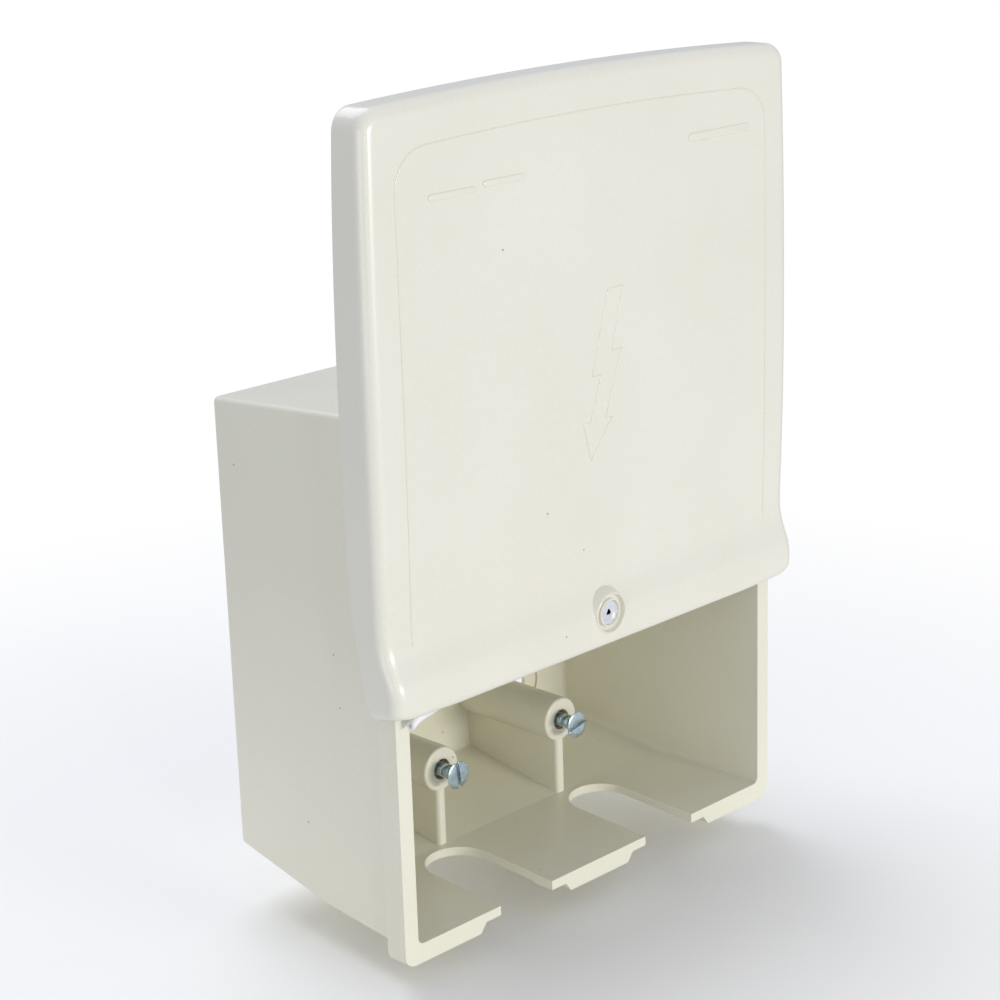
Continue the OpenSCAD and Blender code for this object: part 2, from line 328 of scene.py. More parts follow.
def metal(name, tone, shade, rough, grainScale, stretch=(1, 1, 1), grainDepth=0.25, metallic=1.0):
    material, tree, shader, coords = nodeTree(name)
    color = ramp(tree, noise(tree, coords, 320, 4), ((0.3, shade), (0.65, tone)))
    tree.links.new(color, shader.inputs["Base Color"])
    shader.inputs["Metallic"].default_value = metallic
    wear = levels(tree, noise(tree, coords, 700, 4), *rough, 0.3, 0.7)
    tree.links.new(wear, shader.inputs["Roughness"])
    addBump(tree, shader, ((noise(tree, coords, grainScale, 3, stretch), grainDepth, 0.00005),))
    return material


plasticLook = {
    "cloud": 12, "specks": 60, "speckSize": 0.016, "speckColor": (0.20, 0.16, 0.11),
    "scuff": 30, "scuffAmount": 0.05, "scuffColor": (0.66, 0.63, 0.54),
    "mottle": 1100, "mottleAmount": 0.16,
    "wear": 38, "rough": (0.27, 0.34), "coat": 0.38, "coatRough": 0.10,
    "wave": 20, "waveDepth": 0.04, "grain": 1500, "grainDepth": 0.04,
}
boxLook = dict(plasticLook, rough=(0.32, 0.40), coat=0.35, coatRough=0.12, waveDepth=0.06,
               cloud=10, grainDepth=0.08)
coverPlastic = mouldedPlastic("coverPlastic", (0.84, 0.818, 0.695), (0.815, 0.793, 0.665), plasticLook)
boxPlastic = mouldedPlastic("boxPlastic", (0.84, 0.818, 0.66), (0.81, 0.785, 0.62), boxLook)
zincPlate = metal("zincPlate", (0.62, 0.72, 0.76), (0.44, 0.55, 0.60), (0.22, 0.36), 900)
insertBrass = metal("insertBrass", (0.55, 0.33, 0.13), (0.36, 0.18, 0.07), (0.35, 0.5), 1200)
lockSilver = metal("lockSilver", (0.93, 0.93, 0.95), (0.85, 0.85, 0.88), (0.18, 0.30), 1400,
                   grainDepth=0.12, metallic=0.6)
lockSteel = metal("lockSteel", (0.60, 0.61, 0.62), (0.48, 0.49, 0.50), (0.3, 0.42), 800, (1, 8, 1))


def paintSocketShade(material, center, radius, faceY, depth):
    # painted shade in the key socket: near black inside the radius, from the face to the socket floor,
    # standing in for the shade of the deep hole
    tree = material.node_tree
    shader = tree.nodes["Principled BSDF"]
    coords = tree.nodes.new("ShaderNodeTexCoord")
    shift = tree.nodes.new("ShaderNodeVectorMath")
    shift.operation = "SUBTRACT"
    shift.inputs[1].default_value = center
    flat = tree.nodes.new("ShaderNodeVectorMath")
    flat.operation = "MULTIPLY"
    flat.inputs[1].default_value = (1, 0, 1)
    reach = tree.nodes.new("ShaderNodeVectorMath")
    reach.operation = "LENGTH"
    split = tree.nodes.new("ShaderNodeSeparateXYZ")
    tree.links.new(coords.outputs["Object"], shift.inputs[0])
    tree.links.new(shift.outputs["Vector"], flat.inputs[0])
    tree.links.new(flat.outputs["Vector"], reach.inputs[0])
    tree.links.new(coords.outputs["Object"], split.inputs["Vector"])
    near = levels(tree, reach.outputs["Value"], 1, 0, radius * 0.98, radius * 1.04)
    deep = levels(tree, split.outputs["Y"], 0, 1, faceY + 0.0004, faceY + 0.0007)
    floor = levels(tree, split.outputs["Y"], 1, 0, faceY + depth + 0.0002, faceY + depth + 0.0005)
    inside = product(tree, product(tree, near, deep), floor)
    plain = shader.inputs["Base Color"].links[0].from_socket
    # painted shade: the inside of the key socket is blended to near black
    tree.links.new(blendColor(tree, inside, plain, (0.012, 0.012, 0.014)), shader.inputs["Base Color"])


def softRubber(name, tone, shade, rough):
    material, tree, shader, coords = nodeTree(name)
    color = ramp(tree, noise(tree, coords, 260, 4), ((0.3, shade), (0.7, tone)))
    tree.links.new(color, shader.inputs["Base Color"])
    tree.links.new(levels(tree, noise(tree, coords, 500, 3), *rough), shader.inputs["Roughness"])
    addBump(tree, shader, ((noise(tree, coords, 2200, 4), 0.3, 0.0001),))
    return material


sealFoam = softRubber("sealFoam", (0.90, 0.89, 0.88), (0.80, 0.79, 0.77), (0.5, 0.7))
ringRubber = softRubber("ringRubber", (0.03, 0.03, 0.03), (0.015, 0.015, 0.015), (0.45, 0.65))
print("finishes ready")


def geometryTree(name, inputs):
    tree = bpy.data.node_groups.new(name, "GeometryNodeTree")
    tree.interface.new_socket("Geometry", in_out="INPUT", socket_type="NodeSocketGeometry")
    for label, kind in inputs:
        tree.interface.new_socket(label, in_out="INPUT", socket_type=kind)
    tree.interface.new_socket("Geometry", in_out="OUTPUT", socket_type="NodeSocketGeometry")
    return tree, tree.nodes.new("NodeGroupInput"), tree.nodes.new("NodeGroupOutput")


def grown(piece, tree, values):
    # sets a tree's inputs by their identifiers, then keeps its result as a plain mesh
    mod = piece.modifiers.new("Shape", "NODES")
    mod.node_group = tree
    for item in tree.interface.items_tree:
        if item.in_out == "INPUT" and item.name in values:
            mod[item.identifier] = values[item.name]
    return settled(piece)


def endTree(tree, source, sink, mesh):
    # the same ending for every tree: real geometry with its finish on it
    realize = tree.nodes.new("GeometryNodeRealizeInstances")
    paint = tree.nodes.new("GeometryNodeSetMaterial")
    tree.links.new(mesh, realize.inputs["Geometry"])
    tree.links.new(realize.outputs["Geometry"], paint.inputs["Geometry"])
    tree.links.new(source.outputs["Finish"], paint.inputs["Material"])
    tree.links.new(paint.outputs["Geometry"], sink.inputs["Geometry"])
    return tree


def beadTree():
    # a thin raised bead along the edges of a wire mesh
    tree, source, sink = geometryTree("raisedBead", (
        ("Radius", "NodeSocketFloat"), ("Sides", "NodeSocketInt"), ("Finish", "NodeSocketMaterial")))
    toCurve = tree.nodes.new("GeometryNodeMeshToCurve")
    circle = tree.nodes.new("GeometryNodeCurvePrimitiveCircle")
    sweep = tree.nodes.new("GeometryNodeCurveToMesh")
    sweep.inputs["Fill Caps"].default_value = True
    links = tree.links
    links.new(source.outputs["Geometry"], toCurve.inputs["Mesh"])
    links.new(source.outputs["Radius"], circle.inputs["Radius"])
    links.new(source.outputs["Sides"], circle.inputs["Resolution"])
    links.new(toCurve.outputs["Curve"], sweep.inputs["Curve"])
    links.new(circle.outputs["Curve"], sweep.inputs["Profile Curve"])
    return endTree(tree, source, sink, sweep.outputs["Mesh"])


def threadTree():
    # a screw thread: a spiral with a pointed profile, about +Z, base at the origin
    tree, source, sink = geometryTree("screwThread", (
        ("Core Radius", "NodeSocketFloat"), ("Length", "NodeSocketFloat"), ("Turns", "NodeSocketFloat"),
        ("Crest", "NodeSocketFloat"), ("Finish", "NodeSocketMaterial")))
    spiral = tree.nodes.new("GeometryNodeCurveSpiral")
    spiral.inputs["Resolution"].default_value = 30
    profile = tree.nodes.new("GeometryNodeCurvePrimitiveCircle")
    profile.inputs["Resolution"].default_value = 4
    flatten = tree.nodes.new("GeometryNodeTransform")
    flatten.inputs["Scale"].default_value = (1.0, 0.85, 1.0)
    sweep = tree.nodes.new("GeometryNodeCurveToMesh")
    sweep.inputs["Fill Caps"].default_value = True
    links = tree.links
    links.new(source.outputs["Turns"], spiral.inputs["Rotations"])
    links.new(source.outputs["Core Radius"], spiral.inputs["Start Radius"])
    links.new(source.outputs["Core Radius"], spiral.inputs["End Radius"])
    links.new(source.outputs["Length"], spiral.inputs["Height"])
    links.new(source.outputs["Crest"], profile.inputs["Radius"])
    links.new(profile.outputs["Curve"], flatten.inputs["Geometry"])
    links.new(spiral.outputs["Curve"], sweep.inputs["Curve"])
    links.new(flatten.outputs["Geometry"], sweep.inputs["Profile Curve"])
    return endTree(tree, source, sink, sweep.outputs["Mesh"])


beads = beadTree()
threads = threadTree()


def wire(name, points, closed=False):
    # an edge-only mesh through the points
    bm = bmesh.new()
    verts = [bm.verts.new(p) for p in points]
    for a, b in zip(verts, verts[1:] + verts[:1] if closed else verts[1:]):
        bm.edges.new((a, b))
    return meshObject(name, bm)


def joined(piece, *others):
    bm = bmesh.new()
    bm.from_mesh(piece.data)
    for other in others:
        bm.from_mesh(other.data)
        bpy.data.objects.remove(other)
    bm.to_mesh(piece.data)
    bm.free()
    return piece


box = {
    "width": 200.0, "height": 201.5, "depth": 107.2, "wall": 2.5, "floor": 3.5, "back": 2.9,
    "sideDraft": 7.6, "roofDraft": 9.5, "kinkY": 53.0, "kinkRise": 2.0, "rise": 10.0,
    "round": 1.9, "innerRound": 2.75, "flangeWidth": 4.1, "flangeDepth": 9.6, "flangeRound": 5.0,
    "entryX": 41.0, "entryRadius": 14.0, "entryDepth": 50.0, "entryClear": 8.0,
    "relief": 7.6, "reliefSlope": 3.0, "reliefTop": -0.3,
    "pillarX": 34.0, "pillarZ": 37.8, "pillarY": 52.0, "pillarRadius": 9.1, "pillarRim": 1.1,
    "pillarSink": 1.0, "bore": 4.25, "boreDepth": 25.0,
    "webWidth": 5.0, "webNose": 2.0, "webSet": 0.5, "webFoot": 3.0,
    "fixX": 64.0, "fixZ": (31.5, 167.5), "fixHole": 3.1, "fixRecess": 10.0,
    "recessDepth": 1.1, "recessClear": 3.0, "edge": 0.8,
}


def halfAt(y):
    return box["width"] / 2 - box["sideDraft"] * y / box["depth"]


def roofAt(y):
    return box["height"] - box["roofDraft"] * y / box["depth"]


def floorAt(y):
    if y < box["kinkY"]:
        return box["kinkRise"] * y / box["kinkY"]
    return mix(box["kinkRise"], box["rise"], (y - box["kinkY"]) / (box["depth"] - box["kinkY"]))


def shell():
    # one closed skin: back, outside, flange, inside, inner back
    bm = bmesh.new()

    def ring(y, side, roof, floor, r):
        half = halfAt(y) - side
        outline = roundRect(-half, half, floorAt(y) + floor, roofAt(y) - roof, r)
        return [bm.verts.new(at(x, y, z)) for x, z in outline]

    def flangeRing(y):
        half = box["width"] / 2 + box["flangeWidth"]
        rim = box["flangeWidth"]
        outline = roundRect(-half, half, -rim, box["height"] + rim, box["flangeRound"])
        return [bm.verts.new(at(x, y, z)) for x, z in outline]
    rings = []
    for k in range(7):
        a = math.pi / 2 * (1 - k / 6)
        inset = box["round"] * (1 - math.cos(a))
        y = box["depth"] - box["round"] * (1 - math.sin(a))
        rings.append(ring(y, inset, inset, inset, box["round"]))
    rings.append(ring(box["kinkY"], 0, 0, 0, box["round"]))
    rings.append(ring(box["flangeDepth"], 0, 0, 0, box["round"]))
    rings.append(flangeRing(box["flangeDepth"]))
    rings.append(flangeRing(0))
    inner = box["innerRound"]
    rings.append(ring(0, box["wall"], box["wall"], box["floor"], inner))
    rings.append(ring(box["kinkY"], box["wall"], box["wall"], box["floor"], inner))
    innerBack = box["depth"] - box["back"]
    for k in range(7):
        a = math.pi / 2 * k / 6
        inset = inner * (1 - math.cos(a))
        y, side = innerBack - inner + inner * math.sin(a), box["wall"] + inset
        rings.append(ring(y, side, side, box["floor"] + inset, inner))
    bridge(bm, rings)
    bm.faces.new(rings[0])
    bm.faces.new(rings[-1])
    outward(bm)
    return meshObject("box", bm)


def entryCutter(side):
    r, cx = box["entryRadius"], side * box["entryX"]
    outline = [(cx - r, -past), (cx + r, -past)]
    middleY, steps = box["entryDepth"] - r, 32
    for i in range(steps + 1):
        a = math.pi * i / steps
        outline.append((cx + r * math.cos(a), middleY + r * math.sin(a)))
    return column("entryCut", outline, -box["flangeWidth"] - past, box["floor"] + box["entryClear"])


def reliefCutter(side):
    half, top, rim = box["entryRadius"] + box["relief"], box["reliefTop"], -box["flangeWidth"]
    wide, cx = half + box["reliefSlope"], side * box["entryX"]
    outline = [(cx - half, top), (cx + half, top), (cx + wide, rim), (cx + wide, rim - past),
               (cx - wide, rim - past), (cx - wide, rim)]
    return prism("reliefCut", outline, -past, box["flangeDepth"] + past)


def buildBox():
    piece = shell()
    for side in (-1, 1):
        x, z, back = side * box["pillarX"], box["pillarZ"], box["depth"] - box["pillarSink"]
        r = box["pillarRadius"]
        front, rim = box["pillarY"], box["pillarRim"]
        quarter = [math.pi / 2 * k / 4 for k in range(5)]
        turned = [(r - rim + rim * math.sin(a), front + rim * (1 - math.cos(a))) for a in quarter]
        profile = [(0, front)] + turned + [(r, back), (0, back)]
        combine(piece, lathe("pillar", profile, (x, z), 72), "UNION")
        w, nose, webFront = box["webWidth"] / 2, box["webNose"], front + box["webSet"]
        outline = [(x + w, back), (x - w, back)]
        for start, cx in ((180, x - w + nose), (270, x + w - nose)):
            for k in range(5):
                a = math.radians(start + 90 * k / 4)
                outline.append((cx + nose * math.cos(a), webFront + nose + nose * math.sin(a)))
        combine(piece, column("web", outline, box["webFoot"], z), "UNION")
        mouth, end = front - past, front + box["boreDepth"]
        profile = ((0, mouth), (box["bore"], mouth), (box["bore"], end), (0, end))
        combine(piece, lathe("bore", profile, (x, z), 48), "DIFFERENCE")
        combine(piece, entryCutter(side), "DIFFERENCE")
        combine(piece, reliefCutter(side), "DIFFERENCE")
        for fixZ in box["fixZ"]:
            innerBack = box["depth"] - box["back"]
            start, seat = innerBack - box["recessClear"], innerBack + box["recessDepth"]
            wide, narrow, end = box["fixRecess"], box["fixHole"], box["depth"] + past
            profile = ((0, start), (wide, start), (wide, seat), (narrow, seat), (narrow, end), (0, end))
            combine(piece, lathe("fixing", profile, (side * box["fixX"], fixZ), 56), "DIFFERENCE")
    bevelled(piece, box["edge"], 3, 40)
    finished(piece, "box", boxPlastic, ["box_body"])


buildBox()
print("box ready")


cover = {
    "foot": -6.6, "top": 207.8, "half": 110.4, "sideBow": 1.9, "topBow": 3.1, "corner": 8.0, "edge": 5.0,
    "wall": 2.3,
    # how far forward the front stands, at heights above the foot
    "front": ((0, -5.9), (0.6, -7.2), (1.6, -7.9), (3.2, -8.35), (5.5, -8.5), (10, -8.4), (14, -7.7),
              (18, -6.1), (22, -4.5), (26, -3.45), (30, -3.0), (36, -2.95), (46, -3.2), (70, -3.7),
              (110, -3.95), (160, -3.9), (216, -3.6)),
    # how far the lower edge turns in, and how far back the side reaches
    "tuck": ((0, 2.6), (0.6, 1.55), (1.6, 0.8), (3.2, 0.2), (5.5, 0)),
    "sideBack": ((0, 5.0), (0.5, 5.6), (1.6, 6.1), (4.4, 6.8), (8.6, 7.9), (17, 9.1), (24, 10.0),
                 (31.6, 11.0), (45, 12.1), (60, 12.5), (140, 12.3), (180, 11.7), (205, 11.0), (216, 10.6)),
    # the foot rises at the front corners and drops towards the back of the sides
    "footRise": ((80, 0), (92, 0.5), (100, 0.5), (104, 1.1), (108, 1.6)),
    "footSlope": 0.2, "footFront": -5.9, "footReach": 14.0,
    # the crown of the front grows in above the lip
    "crown": 0.3, "crownHalf": 105.0, "crownFrom": 30.0, "crownOver": 30.0,
    "rounding": 0.75, "cornerHeight": 201.3, "sideLeast": 0.5,
    "rails": {"x": 104.7, "hookX": 101.8, "hookY": 10.15, "from": 28.0, "to": 196.0,
              "front": -0.3, "inset": 1.2, "back": 12.5, "backInset": 0.15, "edge": 0.4},
}
coverMid = (cover["foot"] + cover["top"]) / 2
coverSpan = (cover["top"] - cover["foot"]) / 2


def coverHalf(z):
    return cover["half"] + cover["sideBow"] * (1 - ((z - coverMid) / coverSpan) ** 2)


def coverTop(x):
    return cover["top"] + cover["topBow"] * (1 - (x / cover["half"]) ** 2)


def coverFront(x, z):
    h = z - cover["foot"]
    fade = min(max((h - cover["crownFrom"]) / cover["crownOver"], 0), 1)
    return curveThrough(cover["front"], h) - cover["crown"] * fade * (1 - (x / cover["crownHalf"]) ** 2)


def coverTuck(h):
    return curveThrough(cover["tuck"], h) if h < cover["tuck"][-1][0] else 0


def footShift(x, y, h):
    # how much a point near the foot moves up
    if h >= cover["footReach"]:
        return 0
    wide = curveThrough(cover["footRise"], abs(x))
    back = cover["footSlope"] * max(0, y - cover["footFront"]) * min(1, wide)
    return (wide - back) * (1 - max(0, h) / cover["footReach"]) ** 2


cornerX = coverHalf(cover["cornerHeight"]) - cover["corner"]
cornerZ = coverTop(cornerX) - cover["corner"]
# rows of the skin, as heights above the foot: close at the rolled edge, wider above
heights = ([0, 0.25, 0.6, 1.05, 1.6, 2.3, 3.2, 4.3, 5.5] + [7 + 1.5 * i for i in range(20)]
           + [38.5, 42, 46, 51, 57] + [65 + 10 * i for i in range(14)])
heights = [h for h in heights if cover["foot"] + h < cornerZ - 3]
cornerSteps = 8
topSteps = 36


def outlinePoint(s, inset):
    # s runs up the left side, round the corner, over the top and down the right side
    n = len(heights)
    r = cover["corner"] - inset
    if s < n:
        z = cover["foot"] + heights[s]
        return -(coverHalf(z) - inset), z
    s -= n
    if s <= cornerSteps:
        a = math.radians(180 - 90 * s / cornerSteps)
        return -cornerX + r * math.cos(a), cornerZ + r * math.sin(a)
    s -= cornerSteps
    if s < topSteps:
        x = mix(-cornerX, cornerX, s / topSteps)
        return x, coverTop(x) - inset
    s -= topSteps
    if s <= cornerSteps:
        a = math.radians(90 - 90 * s / cornerSteps)
        return cornerX + r * math.cos(a), cornerZ + r * math.sin(a)
    s -= cornerSteps
    z = cover["foot"] + heights[n - s]
    return coverHalf(z) - inset, z


def coverSkin():
    bm = bmesh.new()
    n = len(heights)
    count = 2 * n + 2 * cornerSteps + topSteps + 1
    profile = [(cover["edge"] * (1 - math.sin(a)), cover["edge"] * (1 - math.cos(a)))
               for a in [math.pi / 2 * k / 7 for k in range(8)]]
    sideSteps = 5
    rings = []
    for inset, depth in profile:
        ring = []
        for s in range(count):
            x, z = outlinePoint(s, inset)
            tuck = coverTuck(z - cover["foot"])
            ring.append(bm.verts.new(raised(x - math.copysign(tuck, x), coverFront(x, z) + depth, z)))
        rings.append(ring)
    for k in range(1, sideSteps + 1):
        ring = []
        for s in range(count):
            x, z = outlinePoint(s, 0)
            h = z - cover["foot"]
            start = coverFront(x, z) + cover["edge"]
            end = max(curveThrough(cover["sideBack"], h), start + cover["sideLeast"])
            y = mix(start, end, k / sideSteps)
            ring.append(bm.verts.new(raised(x - math.copysign(coverTuck(h), x), y, z)))
        rings.append(ring)
    bridge(bm, rings, closed=False)
    # the front panel fills the first ring
    half = cornerSteps // 2
    rows, columns = n + half, topSteps + 2 * half
    left = [rings[0][i].co.copy() for i in range(rows + 1)]
    right = [rings[0][count - 1 - i].co.copy() for i in range(rows + 1)]
    top = [rings[0][rows + i].co.copy() for i in range(columns + 1)]
    low = left[0].z
    grid = [[None] * (columns + 1) for _ in range(rows + 1)]
    for j in range(rows + 1):
        grid[j][0] = rings[0][j]
        grid[j][columns] = rings[0][count - 1 - j]
    for i in range(columns + 1):
        grid[rows][i] = rings[0][rows + i]
    for j in range(rows):
        v = (left[j].z - low) / (left[rows].z - low)
        for i in range(1, columns):
            u = (top[i].x - top[0].x) / (top[columns].x - top[0].x)
            bottom = mix(left[0].x, right[0].x, u)
            x = (mix(bottom, top[i].x, v) + mix(left[j].x, right[j].x, u)
                 - mix(bottom, mix(left[rows].x, right[rows].x, u), v))
            z = left[j].z + v * (top[i].z - left[rows].z)
            boxZ = (z - originZ) * 1000 - lift
            y = coverFront(x * 1000, boxZ) / 1000 + originY
            grid[j][i] = bm.verts.new((x, y, z))
    for j in range(rows):
        for i in range(columns):
            bm.faces.new((grid[j][i], grid[j][i + 1], grid[j + 1][i + 1], grid[j + 1][i]))
    for vert in bm.verts:
        x, y, z = vert.co.x * 1000, (vert.co.y - originY) * 1000, (vert.co.z - originZ) * 1000 - lift
        vert.co.z += footShift(x, y, z - cover["foot"]) / 1000
    bmesh.ops.recalc_face_normals(bm, faces=bm.faces)
    front = min(bm.faces, key=lambda f: (f.calc_center_median() - raised(0, -4, 100)).length)
    if front.normal.y > 0:
        bmesh.ops.reverse_faces(bm, faces=bm.faces)
    return meshObject("cover", bm)


def railPiece(side):
    # the guide rail and its hook behind the flange, following the bowed side
    rail = cover["rails"]
    bm = bmesh.new()
    rings = []
    steps = 24
    for k in range(steps + 1):
        h = mix(rail["from"], rail["to"], k / steps)
        z = cover["foot"] + h
        outer, front = coverHalf(z) - rail["inset"], rail["front"]
        back = min(curveThrough(cover["sideBack"], h), rail["back"]) - rail["backInset"]
        section = ((rail["x"], front), (outer, front), (outer, back), (rail["hookX"], back),
                   (rail["hookX"], rail["hookY"]), (rail["x"], rail["hookY"]))
        rings.append([bm.verts.new(raised(side * x, y, z)) for x, y in section])
    bridge(bm, rings)
    bm.faces.new(rings[0])
    bm.faces.new(rings[-1])
    outward(bm)
    return bevelled(meshObject("rail", bm), rail["edge"], 2, 40)


lock = {
    "z": 6.5, "rimY": -8.9, "rim": 8.1, "base": 9.9, "cup": 7.4, "cupDepth": 2.3, "collar": 5.6,
    "collarY": -8.3, "bore": 4.85, "shankBore": 4.05, "seat": -6.1, "back": -3.6, "opening": 7.4,
    "openingCut": (-12.0, -1.0),
}


def buildCover():
    piece = coverSkin()
    wall = piece.modifiers.new("Wall", "SOLIDIFY")
    wall.thickness = cover["wall"] / 1000
    wall.offset = -1
    wall.use_even_offset = True
    wall.use_quality_normals = True
    settled(piece)
    bevelled(piece, cover["rounding"], 3, 50)
    r, (start, end) = lock["opening"], lock["openingCut"]
    hole = lathe("hole", ((0, start), (r, start), (r, end), (0, end)), (0, lock["z"]), 64, raised)
    combine(piece, hole, "DIFFERENCE")
    # the boss: outer cone, rounded rim, cup, collar and stepped bore
    shank, base, back = lock["shankBore"], lock["base"], lock["back"]
    rim, cup, collar, bore, seat = lock["rim"], lock["cup"], lock["collar"], lock["bore"], lock["seat"]
    y, top, bottom = lock["rimY"], lock["collarY"], lock["rimY"] + lock["cupDepth"]
    profile = ((shank, back), (base - 0.3, back), (base, back - 0.3),
               (rim + 0.1, y + 0.45), (rim - 0.05, y + 0.18), (rim - 0.3, y),
               (cup + 0.3, y), (cup + 0.1, y + 0.08), (cup, y + 0.25),
               (cup - 0.05, y + 1.2), (cup - 0.3, bottom - 0.3), (cup - 0.7, bottom),
               (collar + 0.35, bottom), (collar + 0.08, bottom - 0.05), (collar - 0.08, bottom - 0.3),
               (collar - 0.15, top + 0.15), (collar - 0.3, top), (bore + 0.15, top),
               (bore, top + 0.2), (bore, seat), (shank, seat), (shank, back))
    boss = lathe("boss", profile, (0, lock["z"]), 96, raised)
    joined(piece, boss, railPiece(-1), railPiece(1))
    finished(piece, "cover", coverPlastic, ["cover"], 38)


buildCover()
print("cover ready")

# the raised line round the front, the generic flash sign and the blank name bars
relief = {
    "lineHalf": 97.1, "lineBottom": 19.0, "lineTop": 192.6, "lineBow": 3.0, "lineCorner": 15.0,
    "bead": 0.30,
    "flash": ((6, 129.5), (14, 129.5), (7.5, 106), (12.5, 106), (3.6, 81), (7.2, 81), (-4.6, 66.5),
              (-8.6, 81), (-4.6, 81), (1.6, 98), (-3.4, 98)),
    "flashBead": 0.28, "barHeight": 0.45,
    "bars": ((-82, -60, 174.2, 176.6), (-56, -36, 175.4, 177.8), (52, 87, 177.0, 180.2)),
}


def onFront(x, z, out=0.0):
    return raised(x, coverFront(x, z) - out, z)


def lineTopAt(x):
    return relief["lineTop"] + relief["lineBow"] * (1 - (x / relief["lineHalf"]) ** 2)


def borderPath():
    r, half = relief["lineCorner"], relief["lineHalf"]
    edgeZ = lineTopAt(half - r) - r
    left = [(-half, mix(relief["lineBottom"], edgeZ, k / 60)) for k in range(60)]
    for k in range(13):
        a = math.radians(180 - 90 * k / 12)
        left.append((-half + r + r * math.cos(a), edgeZ + r * math.sin(a)))
    middle = [mix(-half + r, half - r, k / 50) for k in range(1, 50)]
    middle = [(x, lineTopAt(x)) for x in middle]
    path = left + middle + [(-x, z) for x, z in reversed(left)]
    return [onFront(x, z) for x, z in path]


def closedOutline(points, spacing=3.0):
    path = []
    for (x0, z0), (x1, z1) in zip(points, points[1:] + points[:1]):
        steps = max(1, int(math.hypot(x1 - x0, z1 - z0) / spacing))
        path += [onFront(mix(x0, x1, k / steps), mix(z0, z1, k / steps)) for k in range(steps)]
    return path


def blankBar(x0, x1, z0, z1):
    # a low cushion-edged bar that sits in the front
    bm = bmesh.new()
    rings = []
    r, high = (z1 - z0) / 2, relief["barHeight"]
    for inset, out in ((0, -0.4), (0, high * 0.5), (0.15, high * 0.85), (0.4, high)):
        outline = roundRect(x0 + inset, x1 - inset, z0 + inset, z1 - inset, r - inset - 0.01, 6)
        rings.append([bm.verts.new(onFront(x, z, out)) for x, z in outline])
    bridge(bm, rings)
    bm.faces.new(rings[0])
    bm.faces.new(rings[-1])
    outward(bm)
    return meshObject("bar", bm)


def beadPiece(name, points, closed, radius):
    return grown(wire(name, points, closed), beads,
                 {"Radius": radius / 1000, "Sides": 10, "Finish": coverPlastic})


border = beadPiece("coverLine", borderPath(), False, relief["bead"])
flash = beadPiece("coverFlash", closedOutline(relief["flash"]), True, relief["flashBead"])
plates = joined(*[blankBar(*bar) for bar in relief["bars"]])
plates.name = "coverBars"
for reliefPiece in (border, flash, plates):
    finished(reliefPiece, "cover", coverPlastic, ["cover"], 50)
print("cover relief ready")


screw = {
    "faceY": 42.5, "length": 25.0, "head": 5.65, "rim": 0.5, "headDepth": 3.3, "shank": 2.95, "core": 2.5,
    "pitch": 1.0, "crest": 0.5, "runOut": 1.0, "threadSink": 0.05, "edge": 0.12,
    "slotWidth": 1.6, "slotDepth": 1.5, "slotReach": 8.0, "turns": {"left": 83, "right": -12},
}
insert = {
    "set": 2.0, "length": 12.0, "outer": 4.25, "bore": 3.0, "knurls": 36, "knurlDepth": 0.14,
    "waist": 0.35, "waistFrom": 5.0, "waistTo": 7.0,
}


def buildScrew(name, side):
    hand = "left" if side < 0 else "right"
    x, z, y = side * box["pillarX"], box["pillarZ"], screw["faceY"]
    neck, tip = y + screw["headDepth"], y + screw["length"]
    # countersunk head with a softly domed face, then the core of the shank
    head, shank, core, start = screw["head"], screw["shank"], screw["core"], neck + screw["runOut"]
    profile = [(0, y), (head * 0.6, y + 0.02), (head - 0.35, y + 0.06), (head - 0.08, y + 0.2),
               (head, y + 0.38), (head - 0.1, y + screw["rim"] + 0.12),
               (shank + 0.25, neck - 0.25), (shank, neck + 0.1), (shank - 0.02, neck + 0.5),
               (core, start), (core, tip - 0.8), (core - 0.8, tip), (0, tip)]
    piece = lathe(name, profile, (x, z), 64)
    half, reach = screw["slotWidth"] / 2, screw["slotReach"]
    slot = [(-reach, -half), (reach, -half), (reach, half), (-reach, half)]
    cut = prism("slot", slot, -1, screw["slotDepth"], lambda a, b, c: Vector((a, b, c)) / 1000)
    turn = math.radians(screw["turns"][hand])
    cut.data.transform(Matrix.Translation(at(x, y, z)) @ Matrix.Rotation(turn, 4, "Y"))
    combine(piece, cut, "DIFFERENCE")
    bevelled(piece, screw["edge"], 2, 50)
    length = screw["length"] - screw["headDepth"] - 2 * screw["runOut"]
    rod = wire("thread", [Vector((0, 0, 0)), Vector((0, 0, 0.001))])
    grown(rod, threads, {
        "Core Radius": (core - screw["threadSink"]) / 1000, "Length": length / 1000,
        "Turns": length / screw["pitch"], "Crest": screw["crest"] / 1000, "Finish": zincPlate})
    rod.data.transform(Matrix.Translation(at(x, start, z)) @ Matrix.Rotation(math.radians(-90), 4, "X"))
    joined(piece, rod)
    finished(piece, "screw_" + hand, zincPlate, ["screw_" + hand], 30)


